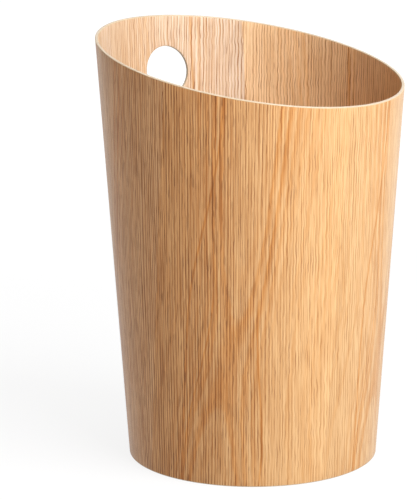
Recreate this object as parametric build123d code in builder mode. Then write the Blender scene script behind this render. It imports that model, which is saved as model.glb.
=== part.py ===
from build123d import *
import os
from math import asin, cos, degrees, radians, sin, tan

# Wastebasket of moulded oak plywood.
#
# The wall is a cone of five plies, narrow end down, trimmed along a sloping plane and pierced near
# its tallest point by a round finger hole. Both face plies are sheets of veneer leaves laid side by
# side; their joints are straight and parallel in the flat sheet, so they wind slightly round the
# cone. A three-ply base panel stands on a bent hoop inside the narrow end.
#
# Millimetres, +Z up. The origin is on the cone's axis, in the plane of the bottom edge, and the
# finger hole faces +Y.

# The cone and its trim.
bottom_diameter = 215.6
wall_lean = 3.69
rim_height_on_axis = 340.0
rim_slope = 14.5
edge_ease = 0.7

# Finger hole, square to the wall. Its height is taken on the inner face.
finger_hole_diameter = 45.0
finger_hole_height = 323.7
hole_ease = 0.4

# Plies, from the outside in, with a film of glue between each two.
face_veneer = 0.5
crossband = 0.45
core = 0.58
glue_film = 0.03

# Leaves of face veneer. A sheet's centre is the azimuth where its joints run straight down the
# wall, and each joint's offset is its distance beside that centre line in the flat sheet.
leaf_width = 156.0
outer_sheet_centre = 300.0
outer_seam = 90.0
outer_joint_offsets = [-379.0 + leaf_width * number for number in range(5)]
inner_sheet_centre = 90.0
inner_seam = 270.0
inner_joint_offsets = [-1.5 * leaf_width + leaf_width * number for number in range(4)]

# Butt seams of the hidden plies, spread round the wall.
outer_crossband_seam = 170.0
core_seam = 230.0
inner_crossband_seam = 350.0
seam_gap = 0.2

# Base panel and the hoop that backs its glue joint.
base_underside = 10.0
base_veneer = 0.6
base_core_thickness = 2.8
base_fit_gap = 0.05
hoop_foot = 1.0
hoop_thickness = 3.0
hoop_seam = 135.0

# Lengths that only have to be generous.
blank_overrun = 20.0
blank_height = 400.0

bottom_radius = bottom_diameter / 2
wall_thickness = 2 * face_veneer + 2 * crossband + core + 4 * glue_film
crossband_depth = face_veneer + glue_film
core_depth = crossband_depth + crossband + glue_film
inner_crossband_depth = core_depth + core + glue_film
inner_face_depth = inner_crossband_depth + crossband + glue_film
base_top = base_underside + 2 * base_veneer + base_core_thickness + 2 * glue_film


def wall_radius(height, depth):
    """Radius of the cone that lies depth under the outer face, measured square to the wall."""
    return bottom_radius + height * tan(radians(wall_lean)) - depth / cos(radians(wall_lean))


def ring(low, high, outer_depth, inner_depth):
    """Conical ring between two heights and two depths under the outer face."""
    with BuildPart() as ring_part:
        with BuildSketch(Plane.XZ):
            with BuildLine():
                Polyline(
                    (wall_radius(low, inner_depth), low),
                    (wall_radius(low, outer_depth), low),
                    (wall_radius(high, outer_depth), high),
                    (wall_radius(high, inner_depth), high),
                    close=True,
                )
            make_face()
        revolve(axis=Axis.Z)
    return ring_part.part


def disc(low, thickness):
    """Disc that drops into the cone until its tapered edge meets the inner face."""
    high = low + thickness
    edge_depth = wall_thickness + base_fit_gap
    with BuildPart() as disc_part:
        with BuildSketch(Plane.XZ):
            with BuildLine():
                Polyline(
                    (0, low),
                    (wall_radius(low, edge_depth), low),
                    (wall_radius(high, edge_depth), high),
                    (0, high),
                    close=True,
                )
            make_face()
        revolve(axis=Axis.Z)
    return disc_part.part


def direction(azimuth):
    """Horizontal unit vector pointing outward at an azimuth."""
    return Vector(cos(radians(azimuth)), sin(radians(azimuth)), 0)


def seam_plane(azimuth):
    """Upright plane through the axis, facing the way the azimuth grows."""
    return Plane(origin=(0, 0, 0), x_dir=direction(azimuth), z_dir=direction(azimuth + 90))


def joint_point(offset, height, sheet_centre):
    """Point of a leaf joint: a straight line of the flat sheet, rolled onto the cone."""
    radius = wall_radius(height, 0)
    slant = radius / sin(radians(wall_lean))
    azimuth = sheet_centre + degrees(asin(offset / slant)) / sin(radians(wall_lean))
    return direction(azimuth) * radius + Vector(0, 0, height)


def joint_plane(offset, sheet_centre):
    """Plane of a leaf joint, square to the wall at mid height, facing the way the azimuth grows."""
    foot = joint_point(offset, 0, sheet_centre)
    head = joint_point(offset, rim_height_on_axis, sheet_centre)
    middle = (foot + head) / 2
    outward = Vector(middle.X, middle.Y, 0).normalized()
    upward = (head - foot).normalized()
    return Plane(origin=middle, x_dir=upward, z_dir=upward.cross(outward))


def leaf_limits(joint_offsets, sheet_centre, seam_azimuth):
    """Pairs of planes that bound each leaf, from the seam round to the seam again."""
    joints = [joint_plane(offset, sheet_centre) for offset in joint_offsets]
    seam = seam_plane(seam_azimuth)
    return list(zip([seam] + joints, joints + [seam]))


# The whole wall after pressing, trimming and easing. Every ply below is cut to this shape.
rim_plane = Plane(
    origin=(0, 0, rim_height_on_axis),
    x_dir=(1, 0, 0),
    z_dir=(0, -sin(radians(rim_slope)), cos(radians(rim_slope))),
)
hole_plane = Plane(
    origin=(0, wall_radius(finger_hole_height, wall_thickness), finger_hole_height),
    x_dir=(1, 0, 0),
    z_dir=(0, cos(radians(wall_lean)), -sin(radians(wall_lean))),
)
with BuildPart() as trimmed_wall:
    add(ring(0, blank_height, 0, wall_thickness))
    chamfer(trimmed_wall.edges().group_by(Axis.Z)[0], edge_ease)
    split(bisect_by=rim_plane, keep=Keep.BOTTOM)
    rim_edges = trimmed_wall.faces().sort_by(Axis.Z)[-1].edges()
    chamfer(rim_edges, edge_ease)
    with BuildSketch(hole_plane):
        Circle(finger_hole_diameter / 2)
    extrude(amount=blank_overrun, both=True, mode=Mode.SUBTRACT)
    hole_wall = trimmed_wall.faces().filter_by(GeomType.CYLINDER)[0]
    chamfer(hole_wall.edges().filter_by(GeomType.LINE, reverse=True), hole_ease)


def trimmed_ply(outer_depth, inner_depth):
    """One ply all round the wall, cut to the trimmed shape."""
    with BuildPart() as ply:
        add(ring(-blank_overrun, blank_height, outer_depth, inner_depth))
        add(trimmed_wall.part, mode=Mode.INTERSECT)
    return ply.part


def seam_slot(azimuth):
    """Solid as thin as a butt seam, standing across the wall at an azimuth."""
    with BuildPart() as slot:
        with BuildSketch(Plane.XY):
            with PolarLocations(bottom_radius, 1, start_angle=azimuth):
                Rectangle(3 * blank_overrun, seam_gap)
        extrude(amount=blank_height)
    return slot.part


os.makedirs("parts", exist_ok=True)

# Outer face: veneer leaves, numbered from the seam behind the finger hole.
outer_face = trimmed_ply(-blank_overrun, face_veneer)
outer_limits = leaf_limits(outer_joint_offsets, outer_sheet_centre, outer_seam)
for number, (first_side, last_side) in enumerate(outer_limits, start=1):
    with BuildPart() as outer_leaf:
        add(outer_face)
        split(bisect_by=first_side, keep=Keep.TOP)
        split(bisect_by=last_side, keep=Keep.BOTTOM)
    outer_leaf.part.label = f"outer_leaf_{number}"
    export_step(outer_leaf.part, f"parts/outer_leaf_{number}.step")

# Inner face: the same leaves of veneer, with the finger hole in the middle one.
inner_face = trimmed_ply(inner_face_depth, wall_thickness + blank_overrun)
inner_limits = leaf_limits(inner_joint_offsets, inner_sheet_centre, inner_seam)
for number, (first_side, last_side) in enumerate(inner_limits, start=1):
    with BuildPart() as inner_leaf:
        add(inner_face)
        split(bisect_by=first_side, keep=Keep.TOP)
        split(bisect_by=last_side, keep=Keep.BOTTOM)
    inner_leaf.part.label = f"inner_leaf_{number}"
    export_step(inner_leaf.part, f"parts/inner_leaf_{number}.step")

# Hidden plies, each wrapped once round the wall.
with BuildPart() as outer_crossband:
    add(trimmed_ply(crossband_depth, crossband_depth + crossband))
    add(seam_slot(outer_crossband_seam), mode=Mode.SUBTRACT)
outer_crossband.part.label = "outer_crossband"
export_step(outer_crossband.part, "parts/outer_crossband.step")

with BuildPart() as core_ply:
    add(trimmed_ply(core_depth, core_depth + core))
    add(seam_slot(core_seam), mode=Mode.SUBTRACT)
core_ply.part.label = "core_ply"
export_step(core_ply.part, "parts/core_ply.step")

with BuildPart() as inner_crossband:
    add(trimmed_ply(inner_crossband_depth, inner_crossband_depth + crossband))
    add(seam_slot(inner_crossband_seam), mode=Mode.SUBTRACT)
inner_crossband.part.label = "inner_crossband"
export_step(inner_crossband.part, "parts/inner_crossband.step")

# Base panel, three plies.
with BuildPart() as base_bottom_veneer:
    add(disc(base_underside, base_veneer))
base_bottom_veneer.part.label = "base_bottom_veneer"
export_step(base_bottom_veneer.part, "parts/base_bottom_veneer.step")

with BuildPart() as base_core:
    add(disc(base_underside + base_veneer + glue_film, base_core_thickness))
base_core.part.label = "base_core"
export_step(base_core.part, "parts/base_core.step")

with BuildPart() as base_top_veneer:
    add(disc(base_top - base_veneer, base_veneer))
base_top_veneer.part.label = "base_top_veneer"
export_step(base_top_veneer.part, "parts/base_top_veneer.step")

# Hoop: a strip bent round inside the wall and butted, under the base panel.
with BuildPart() as base_hoop:
    hoop_depth = wall_thickness + base_fit_gap
    add(ring(hoop_foot, base_underside - glue_film, hoop_depth, hoop_depth + hoop_thickness))
    add(seam_slot(hoop_seam), mode=Mode.SUBTRACT)
base_hoop.part.label = "base_hoop"
export_step(base_hoop.part, "parts/base_hoop.step")
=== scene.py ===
from math import atan2, ceil, cos, pi, radians, sin, sqrt

import bmesh
import bpy
import numpy as np
from mathutils import Matrix, Vector


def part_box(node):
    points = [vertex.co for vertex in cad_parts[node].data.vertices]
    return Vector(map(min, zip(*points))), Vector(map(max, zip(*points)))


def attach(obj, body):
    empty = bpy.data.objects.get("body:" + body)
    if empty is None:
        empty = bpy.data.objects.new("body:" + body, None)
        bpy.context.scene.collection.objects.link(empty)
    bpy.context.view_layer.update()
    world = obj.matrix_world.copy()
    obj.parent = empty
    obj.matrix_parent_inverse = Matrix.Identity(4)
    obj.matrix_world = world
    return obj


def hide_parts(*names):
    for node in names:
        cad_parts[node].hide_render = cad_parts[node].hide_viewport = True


# The looks of a moulded plywood wastebasket: each veneer leaf, hidden ply, base ply and the hoop is
# a finely meshed piece that stands for the CAD node of the same name, with procedural oak.
#
# Metres, in the part's frame: +Z up, the origin on the cone's axis in the plane of the bottom edge,
# the finger hole towards +Y. Grain is worked out in millimetres.

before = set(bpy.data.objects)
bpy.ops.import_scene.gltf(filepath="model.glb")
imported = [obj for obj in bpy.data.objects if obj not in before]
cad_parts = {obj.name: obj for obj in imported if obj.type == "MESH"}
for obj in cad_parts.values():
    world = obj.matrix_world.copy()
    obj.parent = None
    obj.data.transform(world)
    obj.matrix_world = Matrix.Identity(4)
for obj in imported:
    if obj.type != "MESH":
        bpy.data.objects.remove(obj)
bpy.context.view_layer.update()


# ---------------------------------------------------------------- the wall's shape, from the frame

OUTER_LEAVES = [f"outer_leaf_{number}" for number in range(1, 7)]
INNER_LEAVES = [f"inner_leaf_{number}" for number in range(1, 6)]

# How far the outer face and the rim keep inside the CAD's, whose own curves are made of short flats.
INSET = 0.00003


def corners_of(*nodes):
    """Radius, height and place along Y of every corner of some CAD nodes' meshes."""
    places = np.concatenate(
        [[corner.co[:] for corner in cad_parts[node].data.vertices] for node in nodes]
    )
    return np.hypot(places[:, 0], places[:, 1]), places[:, 2], places[:, 1]


leaf_radius, leaf_height, _ = corners_of(*OUTER_LEAVES)
top = leaf_radius.argmax()
foot = (leaf_radius - leaf_height).argmax()
FLARE = (leaf_radius[top] - leaf_radius[foot]) / (leaf_height[top] - leaf_height[foot])
FOOT_RADIUS = leaf_radius[foot] - FLARE * leaf_height[foot] - INSET
LEAN = atan2(FLARE, 1)
_, core_height, core_y = corners_of("core_ply")
back = core_height.argmax()
front = (core_height - core_y).argmax()
RIM_SLOPE = (core_height[back] - core_height[front]) / (core_y[back] - core_y[front])
RIM_ON_AXIS = core_height[back] - RIM_SLOPE * core_y[back] - INSET

# Thicknesses of the plies, and the depths under the outer face where each one starts and ends.
WALL = 0.0026
FACE_VENEER = 0.0005
CROSSBAND = 0.00045
GLUE_FILM = 0.00003
OUTER_CROSSBAND_AT = (FACE_VENEER + GLUE_FILM, FACE_VENEER + GLUE_FILM + CROSSBAND)
INNER_CROSSBAND_AT = (WALL - OUTER_CROSSBAND_AT[1], WALL - OUTER_CROSSBAND_AT[0])
CORE_AT = (OUTER_CROSSBAND_AT[1] + GLUE_FILM, INNER_CROSSBAND_AT[0] - GLUE_FILM)
OUTER_FACE_AT = (0, FACE_VENEER)
INNER_FACE_AT = (WALL - FACE_VENEER, WALL)

# Radius of the rounded edge at the rim and the foot.
EDGE_EASE = 0.0007

# The finger hole, square to the wall: its centre's height is on the inner face.
HOLE_RADIUS = 0.0225
HOLE_HEIGHT = 0.3237
HOLE_EASE = 0.0004


def ring_radius(height, depth):
    """Radius of the cone that lies depth under the outer face."""
    return FOOT_RADIUS + FLARE * height - depth / cos(LEAN)


def rim_height(azimuth, depth):
    """Height where the sloping rim cuts the cone that lies depth under the outer face."""
    lift = RIM_SLOPE * np.sin(azimuth)
    return (RIM_ON_AXIS + lift * ring_radius(0, depth)) / (1 - lift * FLARE)


class Sheet:
    """A face of the wall laid out flat: leaves of one width, joined by straight parallel joints."""

    LEAF_WIDTH = 0.156

    def __init__(self, centre, seam, first_joint, joints):
        self.seam = radians(seam)
        self.centre = radians(centre)
        self.first_joint = first_joint
        self.joints = joints

    def azimuth(self, offset, height):
        """Azimuth of the point that lies offset beside the sheet's centre line at a height."""
        slant = ring_radius(height, 0) / sin(LEAN)
        return self.centre + np.arcsin(offset / slant) / sin(LEAN)

    def joint(self, number):
        """Azimuth of a joint as a function of height; numbers past the ends give the seam."""
        if number < 0:
            return lambda height: self.seam + 0 * height
        if number >= self.joints:
            return lambda height: self.seam + 2 * pi + 0 * height
        return lambda height: self.azimuth(self.first_joint + number * self.LEAF_WIDTH, height)

    def leaf_middle(self, leaf):
        """How far a leaf's middle lies beside the sheet's centre line."""
        return self.first_joint + (leaf - 0.5) * self.LEAF_WIDTH


# The two faces: azimuths of the centre line and of the seam, in degrees, where the first joint lies
# beside the centre line, and how many joints there are besides the seam.
OUTER_SHEET = Sheet(centre=300, seam=90, first_joint=-0.379, joints=5)
INNER_SHEET = Sheet(centre=90, seam=-90, first_joint=-0.234, joints=4)


# ---------------------------------------------------------------- meshes

class Shell:
    """Corners and faces of a closed mesh, gathered chain by chain."""

    SHARP_TURN = radians(40)

    def __init__(self):
        self.places = []
        self.faces = []
        self.slots = []

    def chain(self, places):
        """Adds a row of corners and returns their numbers."""
        first = len(self.places)
        self.places.extend(tuple(place) for place in places)
        return list(range(first, len(self.places)))

    def face(self, corners, slot=0):
        """Adds a face, unless it has shrunk to an edge."""
        kept = tuple(dict.fromkeys(corners))
        if len(kept) > 2:
            self.faces.append(kept)
            self.slots.append(slot)

    def strip(self, lower, upper, slot=0, skip=(), ring=False):
        """Joins two chains of equal length by faces, apart from the steps in skip."""
        for step in range(len(lower) - (0 if ring else 1)):
            if step not in skip:
                after = (step + 1) % len(lower)
                self.face((lower[step], lower[after], upper[after], upper[step]), slot)

    def strips(self, chains, slot=0, ring=False):
        """Joins each chain to the next."""
        for lower, upper in zip(chains, chains[1:]):
            self.strip(lower, upper, slot, ring=ring)

    def make(self, name, materials):
        """The finished object, with its normals outward and its edges sharp where they turn."""
        mesh = bpy.data.meshes.new(name)
        mesh.from_pydata(self.places, [], self.faces)
        for material in materials:
            mesh.materials.append(material)
        mesh.polygons.foreach_set("material_index", self.slots)
        mesh.polygons.foreach_set("use_smooth", [True] * len(self.faces))
        shape = bmesh.new()
        shape.from_mesh(mesh)
        bmesh.ops.recalc_face_normals(shape, faces=shape.faces)
        shape.to_mesh(mesh)
        shape.free()
        mesh.set_sharp_from_angle(angle=self.SHARP_TURN)
        piece = bpy.data.objects.new(name, mesh)
        bpy.context.scene.collection.objects.link(piece)
        return piece


def fallback(depth, between, ease):
    """How far a rounded edge falls back from its plane, at a depth in a plate's thickness."""
    near = min(depth - between[0], between[1] - depth)
    return ease - sqrt(ease**2 - (ease - near) ** 2) if near < ease else 0.0


class Panel(Shell):
    """One curved ply between two azimuths, closed all round, with the wall's eased edges."""

    # The grid: how far a column turns and a row rises at most; how many steps cross an edge; half the
    # width of the block that makes way for the finger hole, and the rings between it and the hole, as
    # shares of the way.
    COLUMN_TURN = radians(2)
    ROW_RISE = 0.0055
    EDGE_STEPS = 6
    SETTLING_ROUNDS = 8
    HOLE_ROOM = 0.034
    HOLE_SHARES = (0.35, 0.7, 1.0)

    def __init__(self, left, right, depths, between=(0, WALL), foot=0.0, top=rim_height,
                 ease=EDGE_EASE, pierced=False):
        super().__init__()
        self.left = left
        self.right = right
        self.depths = depths
        self.between = between
        self.foot = foot
        self.top = top
        self.ease = ease
        heights = top(np.array([left(RIM_ON_AXIS), right(RIM_ON_AXIS)]), depths[0])
        turn = right(heights.max()) - left(heights.max())
        self.columns = np.linspace(0, 1, ceil(turn / self.COLUMN_TURN) + 1)
        shares = np.linspace(0, 1, ceil((heights.max() - foot) / self.ROW_RISE) + 1)
        steps = (1 - np.cos(np.linspace(0, pi, self.EDGE_STEPS + 1)[1:-1])) / 2
        self.across = [depths[0] + step * (depths[1] - depths[0]) for step in steps]
        self.sides = [[self.row(share, depth) for share in shares] for depth in depths]
        self.rim = self.edge(1, -1)
        self.base = self.edge(0, 0)
        self.hole_columns, self.hole_rows = self.cells_round_hole() if pierced else (range(0), range(0))
        self.fill_sides()
        self.strips(self.rim, slot=1)
        self.strips(self.base, slot=1)
        if pierced:
            self.line_hole()
        self.close_ends()

    def edge(self, share, row):
        """Rows from one face to the other round the edge at the rim or at the foot."""
        middle = [self.row(share, depth) for depth in self.across]
        return [self.sides[0][row], *middle, self.sides[1][row]]

    def fill_sides(self):
        """Fills both faces, apart from the cells that make way for the finger hole."""
        for chains in self.sides:
            for number, (lower, upper) in enumerate(zip(chains, chains[1:])):
                self.strip(lower, upper, skip=self.hole_columns if number in self.hole_rows else ())

    def close_ends(self):
        """Closes the panel's two long edges."""
        hole_ends = (self.hole_columns.start, self.hole_columns.stop)
        for column in (0, len(self.columns) - 1):
            outer, inner = [[chain[column] for chain in chains] for chains in self.sides]
            self.strip(outer, inner, slot=1, skip=self.hole_rows if column in hole_ends else ())
            self.face([chain[column] for chain in self.rim], slot=1)
            self.face([chain[column] for chain in self.base], slot=1)

    def row(self, share, depth):
        """Corners of a row that is a share of the way up the panel, at a depth in the wall.

        Its azimuths follow from its heights and its heights from its azimuths, so both are settled in
        rounds.
        """
        drop = fallback(depth, self.between, self.ease)
        height = np.full(len(self.columns), RIM_ON_AXIS * share)
        for _ in range(self.SETTLING_ROUNDS):
            azimuth = self.left(height) + self.columns * (self.right(height) - self.left(height))
            low = self.foot + drop
            height = low + share * (self.top(azimuth, depth) - drop - low)
        radius = ring_radius(height, depth)
        return self.chain(zip(radius * np.cos(azimuth), radius * np.sin(azimuth), height))

    def cells_round_hole(self):
        """Columns and rows of the cells that make way for the finger hole."""
        chains = self.sides[0]
        spots = [self.places[corner] for corner in chains[-1]]
        room = self.HOLE_ROOM
        beside = [number for number, (x, y, _) in enumerate(spots) if abs(x) < room and y > 0]
        heights = [self.places[chain[beside[0]]][2] for chain in chains]
        level = [number for number, height in enumerate(heights) if abs(height - HOLE_HEIGHT) < room]
        return range(beside[0], beside[-1]), range(level[0], level[-1])

    def path_round_hole(self):
        """The grid's corners round those cells, as (row, column), and whether they close a ring.

        They don't where the cells meet one of the panel's ends, which cuts the hole in two.
        """
        first, last = self.hole_columns.start, self.hole_columns.stop
        low, high = self.hole_rows.start, self.hole_rows.stop
        path = [(low, column) for column in range(first, last)]
        path += [(row, last) for row in range(low, high)]
        path += [(high, column) for column in range(last, first, -1)]
        path += [(row, first) for row in range(high, low, -1)]
        if first == 0:
            return path[: path.index((high, 0)) + 1], False
        if last == len(self.columns) - 1:
            return path[path.index((high, last)):] + path[: path.index((low, last)) + 1], False
        return path, True

    def hole_spots(self, path, depth, share, radius):
        """Corners part of the way from the path round the hole to the hole's own edge."""
        centre = HOLE_HEIGHT - (WALL - depth) * sin(LEAN)
        spots = []
        for corner in path:
            x, _, z = self.places[corner]
            turn = atan2(z - centre, x)
            x += share * (radius * cos(turn) - x)
            z += share * (centre + radius * cos(LEAN) * sin(turn) - z)
            spots.append((x, sqrt(ring_radius(z, depth) ** 2 - x**2), z))
        return self.chain(spots)

    def line_hole(self):
        """Fills the cells round the hole on both faces, and lines the hole's own wall."""
        path, whole = self.path_round_hole()
        through = []
        for chains, depth in zip(self.sides, self.depths):
            start = [chains[row][column] for row, column in path]
            radius = HOLE_RADIUS + fallback(depth, self.between, HOLE_EASE)
            rings = [start]
            rings += [self.hole_spots(start, depth, share, radius) for share in self.HOLE_SHARES]
            self.strips(rings, ring=whole)
            through.append(rings)
        start = through[0][0]
        lining = [through[0][-1]]
        for depth in self.across:
            radius = HOLE_RADIUS + fallback(depth, self.between, HOLE_EASE)
            lining.append(self.hole_spots(start, depth, 1, radius))
        lining.append(through[1][-1])
        self.strips(lining, slot=1, ring=whole)
        if not whole:
            for end in (0, -1):
                outer, inner = [[ring[end] for ring in rings] for rings in through]
                self.strip(outer, inner, slot=1)
                self.face([chain[end] for chain in lining], slot=1)


class Disc(Shell):
    """A round plate turned about the basket's axis, from an outline of (radius, height)."""

    CORNERS = 180

    def __init__(self, outline):
        super().__init__()
        turns = np.linspace(0, 2 * pi, self.CORNERS, endpoint=False)
        chains = []
        for radius, height in outline:
            if radius:
                spots = [(radius * cos(turn), radius * sin(turn), height) for turn in turns]
                chains.append(self.chain(spots))
            else:
                chains.append(self.chain([(0, 0, height)]) * self.CORNERS)
        self.strips(chains, ring=True)


# ---------------------------------------------------------------- numbers that vary over a surface

MM_PER_M = 1000


class Value:
    """A number worked out by a material's nodes. Arithmetic on it adds Math nodes."""

    def __init__(self, tree, socket):
        self.tree = tree
        self.socket = socket

    def math(self, operation, *others):
        node = self.tree.nodes.new("ShaderNodeMath")
        node.operation = operation
        for value, socket in zip((self, *others), node.inputs):
            connect(value, socket)
        return Value(self.tree, node.outputs[0])

    def __add__(self, other):
        return self.math("ADD", other)

    def __sub__(self, other):
        return self.math("SUBTRACT", other)

    def __rsub__(self, other):
        return (self * -1) + other

    def __mul__(self, other):
        return self.math("MULTIPLY", other)

    def __truediv__(self, other):
        return self.math("DIVIDE", other)

    def __pow__(self, other):
        return self.math("POWER", other)

    __radd__ = __add__
    __rmul__ = __mul__

    def clamped(self, low=0.0, high=1.0):
        return self.math("MAXIMUM", low).math("MINIMUM", high)

    def rise(self, start, end):
        """0 up to start, 1 past end, smooth between; falls if end is less than start."""
        node = self.tree.nodes.new("ShaderNodeMapRange")
        node.interpolation_type = "SMOOTHSTEP"
        connect(self, node.inputs["Value"])
        low, high = sorted((start, end))
        node.inputs["From Min"].default_value = low
        node.inputs["From Max"].default_value = high
        node.inputs["To Min"].default_value = 0 if start < end else 1
        node.inputs["To Max"].default_value = 1 if start < end else 0
        return Value(self.tree, node.outputs["Result"])

    def hump(self, middle, width):
        """1 at the middle, falling off as a bell curve of that width."""
        gap = (self - middle) / width
        return (gap * gap * -1).math("EXPONENT")


def connect(value, socket):
    """Links a value to a socket, or sets the socket where the value is a plain number or colour."""
    if isinstance(value, Value):
        value.tree.links.new(value.socket, socket)
    else:
        socket.default_value = value


def noise(x, y, z=0.0, detail=0.0, roughness=0.5):
    """Smooth noise from 0 to 1, about 0.5, with features about one unit across."""
    tree = x.tree
    place = tree.nodes.new("ShaderNodeCombineXYZ")
    for value, socket in zip((x, y, z), place.inputs):
        connect(value, socket)
    node = tree.nodes.new("ShaderNodeTexNoise")
    node.inputs["Scale"].default_value = 1
    node.inputs["Detail"].default_value = detail
    node.inputs["Roughness"].default_value = roughness
    tree.links.new(place.outputs[0], node.inputs["Vector"])
    return Value(tree, node.outputs["Fac"])


# Numbers of the sockets that a Mix node uses for colours; their names stand for several sockets.
MIX_SHARE = 0
MIX_COLOURS = (6, 7)
MIXED_COLOUR = 2


def blend(share, colour, other):
    """A mix of two colours."""
    tree = next(value.tree for value in (share, colour) if isinstance(value, Value))
    node = tree.nodes.new("ShaderNodeMix")
    node.data_type = "RGBA"
    connect(share, node.inputs[MIX_SHARE])
    for value, number in zip((colour, other), MIX_COLOURS):
        connect(value, node.inputs[number])
    return Value(tree, node.outputs[MIXED_COLOUR])


def ramp(share, colours):
    """A colour from a row of them spread evenly from 0 to 1."""
    node = share.tree.nodes.new("ShaderNodeValToRGB")
    stops = node.color_ramp.elements
    while len(stops) < len(colours):
        stops.new(0.5)
    for number, colour in enumerate(colours):
        stops[number].position = number / (len(colours) - 1)
        stops[number].color = (*colour, 1)
    connect(share, node.inputs[0])
    return Value(share.tree, node.outputs[0])


def tinted(colour, tint):
    """A colour multiplied by a tint."""
    mixed = blend(1, colour, tint)
    mixed.socket.node.blend_type = "MULTIPLY"
    return mixed


def new_material(name):
    """A plain material and the tree that its nodes go in."""
    material = bpy.data.materials.new(name)
    material.use_nodes = True
    return material, material.node_tree


def place_in_mm(tree):
    """The three coordinates of a point on the surface, in the part's frame, in millimetres."""
    places = tree.nodes.new("ShaderNodeTexCoord")
    split = tree.nodes.new("ShaderNodeSeparateXYZ")
    tree.links.new(places.outputs["Object"], split.inputs[0])
    return [Value(tree, socket) * MM_PER_M for socket in split.outputs]


# Clear lacquered wood: the shader's specular level, and the weight and roughness of its coat.
SHINE = 0.1
LACQUER = 0.35
LACQUER_ROUGHNESS = 0.2


def finish_wood(tree, colour, roughness, height, relief):
    """Joins a wood's colour, roughness and relief in millimetres to its shader."""
    shader = tree.nodes["Principled BSDF"]
    connect(colour, shader.inputs["Base Color"])
    connect(roughness, shader.inputs["Roughness"])
    shader.inputs["Specular IOR Level"].default_value = SHINE
    shader.inputs["Coat Weight"].default_value = LACQUER
    shader.inputs["Coat Roughness"].default_value = LACQUER_ROUGHNESS
    bump = tree.nodes.new("ShaderNodeBump")
    bump.inputs["Strength"].default_value = 1
    bump.inputs["Distance"].default_value = relief / MM_PER_M
    connect(height, bump.inputs["Height"])
    tree.links.new(bump.outputs[0], shader.inputs["Normal"])


# ---------------------------------------------------------------- oak

# Oak from the palest late wood to the darkest streaks, as the share of each colour that it reflects.
OUTER_OAK = [(0.67, 0.415, 0.2), (0.51, 0.268, 0.107), (0.36, 0.158, 0.049), (0.2, 0.078, 0.022)]
# The inner face's oak is paler than the outer's: partly the inner veneer's own paler tone, partly
# painted light that stands in for the light reaching the inside.
INNER_OAK_AND_PAINTED_LIGHT = [(0.79, 0.52, 0.30), (0.65, 0.39, 0.20), (0.48, 0.25, 0.108), (0.27, 0.12, 0.045)]
# Paler oak for the two inner leaves that face the soft box: partly their own tone, partly painted light
# on that lit stretch of the inner wall.
PALE_OAK_AND_PAINTED_LIGHT = [(0.68, 0.53, 0.395), (0.55, 0.37, 0.235), (0.43, 0.235, 0.115), (0.26, 0.11, 0.04)]
PALE_AND_PAINTED_LIGHT_LEAVES = ("inner_leaf_3", "inner_leaf_4")

# How the leaves vary: tints of a leaf's two long edges, the one where azimuth is least first, and
# how strongly its grain shows along them. The tints are partly each leaf's own tone and partly
# painted light: painted shade, darker and browner, on the edges away from the soft box, and a
# painted paler, less saturated lit side on the edges that face it.
PLAIN = ((1, 1, 1, 1), (1, 1, 1, 1), 1, 1)
LEAF_LOOKS_AND_PAINTED_LIGHT = {
    "outer_leaf_2": ((0.84, 0.81, 0.75, 1), (0.85, 0.77, 0.74, 1), 1.1, 1.7),
    "outer_leaf_3": ((0.86, 0.73, 0.6, 1), (1.08, 1.16, 1.25, 1), 1.7, 0.5),
    "outer_leaf_4": ((1.0, 1.09, 1.2, 1), (1, 1.22, 1.6, 1), 0.55, 0.55),
    "outer_leaf_5": ((1, 1.15, 1.4, 1), (1, 1, 1, 1), 0.6, 1),
    "inner_leaf_1": ((1, 1, 1, 1), (0.94, 0.87, 0.79, 1), 1, 1.4),
    "inner_leaf_2": ((0.94, 0.88, 0.82, 1), (1.01, 1.07, 1.13, 1), 1.4, 1.2),
    "inner_leaf_3": ((1.05, 1.09, 1.15, 1), (0.95, 0.96, 0.94, 1), 1.3, 1),
    "inner_leaf_4": ((1, 1.08, 1.17, 1), (1.01, 1.08, 1.12, 1), 1, 1),
}
PORE_BROWN = (0.19, 0.07, 0.022, 1)
ARCH_TINT = (1, 0.8, 0.52, 1)
WHITE = (1, 1, 1, 1)

# How far beside a leaf's middle the looks of its two edges are reached, in millimetres.
LEAF_HALF = 75

# The figure of a face: how strongly its arches and pores show, how far its grain wavers sideways,
# in millimetres, and how far apart its lines lie.
OUTER_FIGURE = {"arches": 0.9, "pores": 0.7, "wave": 0.6, "spacing": 2.4}
INNER_FIGURE = {"arches": 0.5, "pores": 0.5, "wave": 2.2, "spacing": 3.0}
BASE_FIGURE = {"arches": 0.0, "pores": 0.6, "wave": 0.9, "spacing": 2.4}

# Layers of noise in the grain: features per millimetre across it, or per line or ring in the last
# two, features per millimetre along it, and a seed.
WANDER = (0.015, 0.005, 0)
WAVER = (0.03, 0.1, 5)
FINE = (1.5, 0.02, 31)
PORE = (1.4, 0.06, 41)
CLOUD = (0.03, 0.008, 51)
RUFFLE = (0.12, 0.12, 61)
CROWDING = (0.06, 0.003, 71)
LINE_TO_LINE = (3.7, 0.012, 81)
RING_TO_RING = (3.7, 0.004, 11)

# Between which two values of the noise a streak, a pore, a line or a ring comes in.
FINE_SHOWS = (0.36, 0.64)
PORE_SHOWS = (0.56, 0.62)
LINE_SHOWS = (0.3, 0.65)
RING_SHOWS = (0.4, 0.62)

# The straight lines: how far they run aslant of a leaf's edges, as a share of the way up; how
# strong the weakest are, and how much stronger the strongest; how far they crowd together, in lines.
GRAIN_SLANT = 0.07
LINE_LEAST = 0.6
LINE_VARIES = 0.6
CROWDING_LINES = 3

# In calm wood, where the grain shows less than fully, the lines waver more, in millimetres, break
# up more often, and vary more, from nothing up.
CALM_WAVER = 2.8
CALM_BREAKS = 7.5
CALM_VARIES = 1.2

# Seeds: each leaf's own number of steps, then the base's faces and the hoop.
SEED_STEP = 0.13
BASE_BOTTOM_SEED = 7 * SEED_STEP
BASE_TOP_SEED = 8 * SEED_STEP
HOOP_SEED = 9 * SEED_STEP

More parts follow.
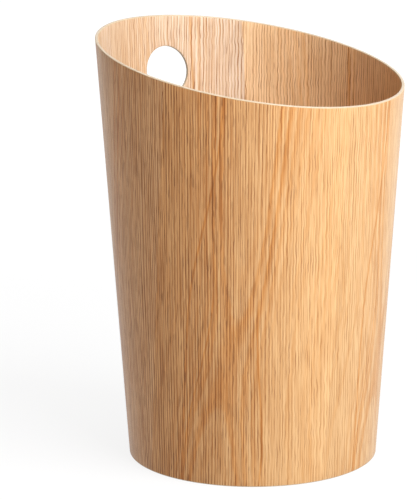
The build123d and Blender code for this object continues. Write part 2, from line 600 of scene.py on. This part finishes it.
# The arches, in millimetres beside the leaf's middle and up it: how far they wander, how wide the
# growth rings are and how ruffled; half the gap between the two nests of arches, and where it is;
# where their middle line is and how it drifts lower down; how they spread away from their waist.
WANDER_REACH = 6
RING_WIDTH = 5.2
RING_RUFFLE = 1.4
ARCH_GAP = 18
ARCH_GAP_AT = 97
ARCH_GAP_REACH = 82
ARCH_MIDDLE = -4
ARCH_DRIFT = 0.13
ARCH_DRIFT_BELOW = 145
ARCH_DRIFT_REACH = 95
ARCH_WAIST_AT = 150
ARCH_WAIST = 1.05
ARCH_SPREAD = 0.0017

# Which rings show, counted from the middle: they come in between the first two numbers, and fade
# to those that show by chance between the next two. Then the share of a ring's strength that is
# always left to chance, and the share of its width over which it darkens before it fades.
RINGS_COME_IN = (1.5, 3)
RINGS_FADE = (8, 3)
RING_CHANCE = 0.25
RING_EDGE = 0.3

# The dark lines beside the arches: how far beside the leaf's middle each one starts, how far it
# moves over as it runs down, between which two heights, how wide it is, and below which height it
# begins to show, if not at the rim.
FLANKS = (
    (-28, -17, 285, 130, 0.9, None),
    (-25, -18, 150, 10, 0.8, 165),
    (12, 10, 140, 10, 0.8, 170),
)
FLANK_FULL_AT = 140


def sheet_place(tree, sheet, leaf):
    """Millimetres beside a leaf's middle line and up along it, with the face laid out flat."""
    x, y, z = place_in_mm(tree)
    middle = float(sheet.azimuth(sheet.leaf_middle(leaf), RIM_ON_AXIS / 2))
    ahead = x * cos(middle) + y * sin(middle)
    aside = y * cos(middle) - x * sin(middle)
    turn = (aside.math("ARCTAN2", ahead) + (middle - sheet.centre)) * sin(LEAN)
    slant = (z * FLARE + FOOT_RADIUS * MM_PER_M) / sin(LEAN)
    beside = slant * turn.math("SINE") - sheet.leaf_middle(leaf) * MM_PER_M
    up = slant * turn.math("COSINE") - FOOT_RADIUS * MM_PER_M / sin(LEAN)
    return beside, up


def layer(across, up, kind, change, **more):
    """One of the grain's layers of noise."""
    rate_across, rate_along, seed = kind
    return noise(across * rate_across, up * rate_along, change + seed, **more)


def grain_lines(place, up, calm, change):
    """Straight early wood: dark where each growth ring starts, then fading, and broken along it."""
    whole = place.math("FLOOR")
    strength = layer(whole, up * (calm * CALM_BREAKS + 1), LINE_TO_LINE, change).rise(*LINE_SHOWS)
    strength = strength * (calm * CALM_VARIES + LINE_VARIES) + LINE_LEAST - calm * LINE_LEAST
    return (1 - place + whole) ** 3 * strength


def ring_lines(across, up, change):
    """Broader early wood in the arched rings that show where the knife ran flat to the rings."""
    drift = (ARCH_DRIFT_BELOW - up).clamped(0, ARCH_DRIFT_REACH) * ARCH_DRIFT
    spread = (up - ARCH_WAIST_AT).math("ABSOLUTE") * ARCH_SPREAD + ARCH_WAIST
    aside = (across - ARCH_MIDDLE + drift) / spread
    reach = (aside * aside + up.hump(ARCH_GAP_AT, ARCH_GAP_REACH) * ARCH_GAP**2) ** 0.5
    reach = reach + (layer(across, up, RUFFLE, change, detail=1) - 0.5) * RING_RUFFLE
    ring = reach / RING_WIDTH
    whole = ring.math("FLOOR")
    age = ring - whole
    chance = layer(whole, up, RING_TO_RING, change).rise(*RING_SHOWS)
    strength = chance * RING_CHANCE + whole.rise(*RINGS_FADE) * (1 - RING_CHANCE)
    strength = strength * whole.rise(*RINGS_COME_IN)
    return age.rise(0, RING_EDGE) * age.rise(1, RING_EDGE) * strength


def flank_lines(across, up):
    """The long dark lines that run down beside the arches and draw in towards the top."""
    lines = []
    for start, shift, shift_from, shift_to, width, shows_below in FLANKS:
        line = (across - start - up.rise(shift_from, shift_to) * shift).hump(0, width)
        if shows_below:
            line = line * up.rise(shows_below, FLANK_FULL_AT)
        lines.append(line)
    return sum(lines)


# What the tone of the wood is made of, from 0 at its palest to 1 at its darkest: the tone of wood
# with a middling share of lines; the weight of the lines, the fine streaks and the clouds; and what
# an arch adds, alone and along each streak in it.
MIDDLE_TONE = 0.3
MIDDLE_LINE = 0.23
LINE_WEIGHT = 0.55
FINE_WEIGHT = 0.22
CLOUD_WEIGHT = 0.16
ARCH_WEIGHT = 0.09
ARCH_FINE_WEIGHT = 0.12

# How strongly the pores show: what a line and an arch add, and how strongly they show elsewhere.
LINE_PORES = 1.1
ARCH_PORES = 0.3
OTHER_PORES = 0.3

# How rough the oak is, and what streaks and pores add; how deep a line is, as a share of a pore's
# depth, and a pore's depth in millimetres.
OAK_ROUGHNESS = 0.46
FINE_ROUGHNESS = 0.08
PORE_ROUGHNESS = 0.2
LINE_DEPTH = 0.3
OAK_RELIEF = 0.02


def oak(tree, beside, up, change, tones, look_and_painted_light, slant, arches, pores, wave, spacing):
    """Flat-sawn oak: straight lines and pores all over, and arched rings up the leaf's middle."""
    near_tint_and_painted_light, far_tint_and_painted_light, near_contrast, far_contrast = look_and_painted_light
    side = beside.rise(-LEAF_HALF, LEAF_HALF)
    contrast = side * (far_contrast - near_contrast) + near_contrast
    calm = (1 - contrast).clamped()

    wander = (layer(beside, up, WANDER, change) - 0.5) * WANDER_REACH
    waver = layer(beside, up, WAVER, change, detail=1) - 0.5
    waver = waver * (calm * CALM_WAVER + wave)
    across = beside + waver + up * slant
    arched = beside + waver + wander

    arch = (ring_lines(arched, up, change) + flank_lines(arched, up)) * arches
    crowding = (layer(across, up, CROWDING, change) - 0.5) * CROWDING_LINES
    lines = grain_lines(across / spacing + crowding, up, calm, change)
    fine = layer(across, up, FINE, change).rise(*FINE_SHOWS)
    pore = layer(across, up, PORE, change, detail=1, roughness=0.6).rise(*PORE_SHOWS)
    pore = pore * (lines * LINE_PORES + arch * ARCH_PORES + OTHER_PORES).clamped()
    cloud = layer(beside, up, CLOUD, change, detail=1) - 0.5

    tone = (lines - MIDDLE_LINE) * LINE_WEIGHT + (fine - 0.5) * FINE_WEIGHT + cloud * CLOUD_WEIGHT
    tone = tone * contrast + MIDDLE_TONE + arch * (fine * ARCH_FINE_WEIGHT + ARCH_WEIGHT)
    # The tint across each leaf is partly the leaf's own tone and partly painted light: painted shade on
    # the side away from the soft box, a painted paler lit side towards it.
    colour = tinted(ramp(tone, tones), blend(side, near_tint_and_painted_light, far_tint_and_painted_light))
    colour = tinted(colour, blend(arch.clamped(), WHITE, ARCH_TINT))
    colour = blend((pore * contrast * pores).clamped(), colour, PORE_BROWN)
    roughness = OAK_ROUGHNESS + fine * FINE_ROUGHNESS + pore * PORE_ROUGHNESS
    height = (lines * -LINE_DEPTH) - pore
    finish_wood(tree, colour, roughness, height, OAK_RELIEF)


def leaf_material(node, sheet, leaf, tones, figure):
    """Oak veneer for one leaf of a face."""
    material, tree = new_material(f"{node}_oak")
    beside, up = sheet_place(tree, sheet, leaf)
    look_and_painted_light = LEAF_LOOKS_AND_PAINTED_LIGHT.get(node, PLAIN)
    oak(tree, beside, up, leaf * SEED_STEP, tones, look_and_painted_light, GRAIN_SLANT, **figure)
    return material


# How far the grain is turned from +Y on the base's two faces.
BASE_BOTTOM_TURN = radians(25)
BASE_TOP_TURN = radians(-35)

# Radii at which lengths round the hoop and the wall are measured, in millimetres.
HOOP_ROUND = 100
WALL_ROUND = 120


def base_material(name, change, turn):
    """Straight-grained oak veneer for a face of the base, with its grain turned from +Y."""
    material, tree = new_material(name)
    x, y, _ = place_in_mm(tree)
    beside = x * cos(turn) + y * sin(turn)
    up = y * cos(turn) - x * sin(turn)
    oak(tree, beside, up, change, INNER_OAK_AND_PAINTED_LIGHT, PLAIN, 0, **BASE_FIGURE)
    return material


def hoop_material(name, change):
    """Solid oak for the hoop, with its grain bent round."""
    material, tree = new_material(name)
    x, y, z = place_in_mm(tree)
    round_way = y.math("ARCTAN2", x) * HOOP_ROUND
    oak(tree, z, round_way, change, INNER_OAK_AND_PAINTED_LIGHT, PLAIN, 0, **BASE_FIGURE)
    return material


# ---------------------------------------------------------------- the hidden wood, and cut edges

# Peeled veneer: features per millimetre of depth in its streaks and specks, per millimetre any way
# in its clouds, and how many times finer the specks are than the streaks.
STREAKS_PER_MM_DEEP = 3
SPECKS_PER_MM_DEEP = 8
CLOUDS_PER_MM = 0.03
CLOUD_SEED = 7
SPECK_FINER = 3

# Between which values of the noise streaks and specks come in, and how much each darkens the wood.
STREAK_SHOWS = (0.3, 0.7)
SPECK_SHOWS = (0.6, 0.7)
STREAK_DARKENS = 0.6
CLOUD_DARKENS = 0.4
SPECK_DARKENS = 0.35

PEELED_ROUGHNESS = 0.55
STREAK_ROUGHNESS = 0.15
PEELED_RELIEF = 0.04


def peeled_material(name, pale, dark, along, upward):
    """Pale peeled veneer: streaks, faint clouds and small pores.

    Along and upward say how many of its features lie in a millimetre, round the wall and up it.
    """
    material, tree = new_material(name)
    x, y, z = place_in_mm(tree)
    round_way = y.math("ARCTAN2", x) * WALL_ROUND
    depth = (x * x + y * y) ** 0.5 - z * FLARE
    streak = noise(round_way * along, z * upward, depth * STREAKS_PER_MM_DEEP, detail=3)
    cloud = noise(round_way * CLOUDS_PER_MM, z * CLOUDS_PER_MM, CLOUD_SEED, detail=1)
    finer_along = round_way * along * SPECK_FINER
    finer_upward = z * upward * SPECK_FINER
    speck = noise(finer_along, finer_upward, depth * SPECKS_PER_MM_DEEP, detail=1).rise(*SPECK_SHOWS)
    share = streak.rise(*STREAK_SHOWS) * STREAK_DARKENS + cloud * CLOUD_DARKENS + speck * SPECK_DARKENS
    colour = blend(share.clamped(), pale, dark)
    roughness = PEELED_ROUGHNESS + streak * STREAK_ROUGHNESS
    finish_wood(tree, colour, roughness, streak - speck, PEELED_RELIEF)
    return material


PALE_WOOD = (0.56, 0.46, 0.33, 1)
FACE_EDGE = peeled_material("face_veneer_edge", PALE_WOOD, (0.38, 0.27, 0.16, 1), 1.8, 1.8)
PLY_EDGE = peeled_material("ply_edge", (0.50, 0.43, 0.35, 1), (0.40, 0.33, 0.25, 1), 0.25, 0.8)
CROSSBAND_FACE = peeled_material("crossband_wood", PALE_WOOD, (0.42, 0.31, 0.2, 1), 0.06, 0.9)
CORE_FACE = peeled_material("core_wood", PALE_WOOD, (0.42, 0.31, 0.2, 1), 0.9, 0.06)


# ---------------------------------------------------------------- the pieces

# The hidden plies: azimuth of each one's seam, in degrees, its depths, and its faces' material. Then
# the gap that is left open at a seam.
HIDDEN_PLIES = {
    "outer_crossband": (170, OUTER_CROSSBAND_AT, CROSSBAND_FACE),
    "core_ply": (230, CORE_AT, CORE_FACE),
    "inner_crossband": (350, INNER_CROSSBAND_AT, CROSSBAND_FACE),
}
SEAM_GAP = 0.0002

# The base and the hoop: how far each stays clear of the wall, how far out the base's faces are split
# by a ring, as a share of their radius, and the hoop's thickness, seam and eased edges.
BASE_FIT = 0.00005
BASE_RING = 0.5
HOOP_FIT = 0.00003
HOOP_THICKNESS = 0.003
HOOP_SEAM = 135
HOOP_EASE = 0.0004


def add(piece, node):
    """Puts a piece in the place of its CAD node."""
    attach(piece, "root")
    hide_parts(node)


def make_face(sheet, nodes, depths, tones, figure, pierced):
    """The leaves of one face of the wall."""
    for leaf, node in enumerate(nodes):
        panel = Panel(sheet.joint(leaf - 1), sheet.joint(leaf), depths, pierced=node in pierced)
        # The inner leaves that face the soft box take the paler oak, partly painted light on their lit
        # side.
        shades = PALE_OAK_AND_PAINTED_LIGHT if node in PALE_AND_PAINTED_LIGHT_LEAVES else tones
        material = leaf_material(node, sheet, leaf, shades, figure)
        add(panel.make(f"{node}_wood", [material, FACE_EDGE]), node)


def make_hidden_plies():
    """The three plies between the faces, each bent round to a butt seam of its own."""
    gap = SEAM_GAP / ring_radius(RIM_ON_AXIS, 0)
    for node, (seam, depths, face) in HIDDEN_PLIES.items():
        start = radians(seam) + gap / 2
        end = start + 2 * pi - gap
        panel = Panel(
            lambda height: start + 0 * height,
            lambda height: end + 0 * height,
            depths,
            pierced=True,
        )
        add(panel.make(f"{node}_wood", [face, PLY_EDGE]), node)


def make_base():
    """The three plies of the base, cut to the wall's taper."""
    bottom_oak = base_material("base_bottom_oak", BASE_BOTTOM_SEED, BASE_BOTTOM_TURN)
    top_oak = base_material("base_top_oak", BASE_TOP_SEED, BASE_TOP_TURN)
    finishes = {
        "base_bottom_veneer": (bottom_oak, "base_face_oak"),
        "base_core": (CORE_FACE, "hidden_ply_wood"),
        "base_top_veneer": (top_oak, "base_face_oak"),
    }
    for node, (material, slot) in finishes.items():
        low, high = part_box(node)
        outline = [(0, low.z), (high.x * BASE_RING, low.z)]
        outline += [(ring_radius(height, WALL) - BASE_FIT, height) for height in (low.z, high.z)]
        outline += [(high.x * BASE_RING, high.z), (0, high.z)]
        add(Disc(outline).make(f"{node}_wood", [material]), node)


def make_hoop():
    """A thin strip of oak bent round inside the foot, under the base."""
    low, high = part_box("base_hoop")
    start = radians(HOOP_SEAM)
    end = start + 2 * pi - SEAM_GAP / ring_radius(low.z, WALL)
    depths = (WALL + HOOP_FIT, WALL + HOOP_FIT + HOOP_THICKNESS)
    panel = Panel(
        lambda height: start + 0 * height,
        lambda height: end + 0 * height,
        depths,
        between=depths,
        foot=low.z,
        top=lambda azimuth, depth: high.z + 0 * azimuth,
        ease=HOOP_EASE,
    )
    hoop_oak = hoop_material("hoop_oak", HOOP_SEED)
    add(panel.make("base_hoop_wood", [hoop_oak, hoop_oak]), "base_hoop")


# ---------------------------------------------------------------- camera, floor and light

# Where the camera stands, from the basket's axis and the floor, where it looks, and its lens in
# millimetres.
CAMERA_DISTANCE = 1.295
CAMERA_HEIGHT = 0.4078
CAMERA_SIDE = radians(232.24)
CAMERA_HEADING = radians(53.89)
CAMERA_PITCH = radians(10.14)
CAMERA_ROLL = radians(-0.44)
FOCAL_LENGTH = 110.15
FARTHEST_SEEN = 200

# The floor: what it reflects, and the light of its own that it gives near the basket and farther
# off, growing between two distances in millimetres.
FLOOR_REACH = 60
FLOOR_GREY = 0.1
FLOOR_GLOW = 0.83
FAR_FLOOR_GLOW = 0.96
FLOOR_GLOW_GROWS = (400, 2500)
FLOOR_ROUGHNESS = 0.9
FLOOR_SHINE = 0.2

# The room, and the backdrop's top as the height of a direction one unit long.
ROOM_GLOW = 0.05
BACKDROP_GLOW = 0.95
BACKDROP_TOP = 0.12

# The light from above, and the soft box on the camera's right, by its bearing and its height as seen
# from the point that it is aimed at.
OVERHEAD_POWER = 2.9
OVERHEAD_SPREAD = radians(70)
SOFT_BOX_SIZE = 1.5
SOFT_BOX_POWER = 71
SOFT_BOX_DISTANCE = 2
SOFT_BOX_BEARING = CAMERA_SIDE + radians(48)
SOFT_BOX_HEIGHT = radians(40)
SOFT_BOX_AIM = Vector((0, 0, 0.2))


def make_camera():
    """A long lens a little above the rim, looking down at the low side of the basket."""
    data = bpy.data.cameras.new("camera")
    data.lens = FOCAL_LENGTH
    data.clip_end = FARTHEST_SEEN
    camera = bpy.data.objects.new("camera", data)
    bpy.context.scene.collection.objects.link(camera)
    place = Vector((cos(CAMERA_SIDE), sin(CAMERA_SIDE), 0)) * CAMERA_DISTANCE
    place.z = CAMERA_HEIGHT
    turn = (
        Matrix.Rotation(CAMERA_HEADING - pi / 2, 4, "Z")
        @ Matrix.Rotation(pi / 2 - CAMERA_PITCH, 4, "X")
        @ Matrix.Rotation(CAMERA_ROLL, 4, "Z")
    )
    camera.matrix_world = Matrix.Translation(place) @ turn
    bpy.context.scene.camera = camera


def make_floor():
    """A white floor that gives light of its own, wide enough to fill the view behind the basket."""
    mesh = bpy.data.meshes.new("studio_floor")
    corners = [(-1, -1, 0), (1, -1, 0), (1, 1, 0), (-1, 1, 0)]
    mesh.from_pydata([Vector(corner) * FLOOR_REACH for corner in corners], [], [(0, 1, 2, 3)])
    floor = bpy.data.objects.new("studio_floor", mesh)
    bpy.context.scene.collection.objects.link(floor)
    material, tree = new_material("studio_white")
    x, y, _ = place_in_mm(tree)
    distance = (x * x + y * y) ** 0.5
    glow = distance.rise(*FLOOR_GLOW_GROWS) * (FAR_FLOOR_GLOW - FLOOR_GLOW) + FLOOR_GLOW
    shader = tree.nodes["Principled BSDF"]
    shader.inputs["Base Color"].default_value = (FLOOR_GREY, FLOOR_GREY, FLOOR_GREY, 1)
    shader.inputs["Emission Color"].default_value = WHITE
    connect(glow, shader.inputs["Emission Strength"])
    shader.inputs["Roughness"].default_value = FLOOR_ROUGHNESS
    shader.inputs["Specular IOR Level"].default_value = FLOOR_SHINE
    mesh.materials.append(material)


def make_room():
    """A dim room, with a white backdrop behind the floor's far edge."""
    world = bpy.data.worlds.new("room")
    bpy.context.scene.world = world
    world.use_nodes = True
    tree = world.node_tree
    background = tree.nodes["Background"]
    background.inputs["Color"].default_value = WHITE
    direction = tree.nodes.new("ShaderNodeTexCoord")
    split = tree.nodes.new("ShaderNodeSeparateXYZ")
    tree.links.new(direction.outputs["Generated"], split.inputs["Vector"])
    backdrop = Value(tree, split.outputs["Z"]).rise(BACKDROP_TOP, BACKDROP_TOP / 2)
    glow = backdrop * (BACKDROP_GLOW - ROOM_GLOW) + ROOM_GLOW
    connect(glow, background.inputs["Strength"])


def make_lights():
    """Soft light from straight above, and a large soft box on the right."""
    above = bpy.data.lights.new("light_above", "SUN")
    above.energy = OVERHEAD_POWER
    above.angle = OVERHEAD_SPREAD
    bpy.context.scene.collection.objects.link(bpy.data.objects.new("light_above", above))

    side = bpy.data.lights.new("soft_box", "AREA")
    side.shape = "SQUARE"
    side.size = SOFT_BOX_SIZE
    side.energy = SOFT_BOX_POWER
    soft_box = bpy.data.objects.new("soft_box", side)
    bpy.context.scene.collection.objects.link(soft_box)
    level = cos(SOFT_BOX_HEIGHT)
    rise = sin(SOFT_BOX_HEIGHT)
    toward = Vector((cos(SOFT_BOX_BEARING) * level, sin(SOFT_BOX_BEARING) * level, rise))
    soft_box.location = SOFT_BOX_AIM + toward * SOFT_BOX_DISTANCE
    soft_box.rotation_euler = (-toward).to_track_quat("-Z", "Y").to_euler()


bpy.context.scene.view_settings.view_transform = "Standard"
make_camera()
make_floor()
make_room()
make_lights()
make_face(
    OUTER_SHEET, OUTER_LEAVES, OUTER_FACE_AT, OUTER_OAK, OUTER_FIGURE,
    pierced=("outer_leaf_1", "outer_leaf_6"),
)
make_face(
    INNER_SHEET, INNER_LEAVES, INNER_FACE_AT, INNER_OAK_AND_PAINTED_LIGHT, INNER_FIGURE,
    pierced=("inner_leaf_3",),
)
make_hidden_plies()
make_base()
make_hoop()
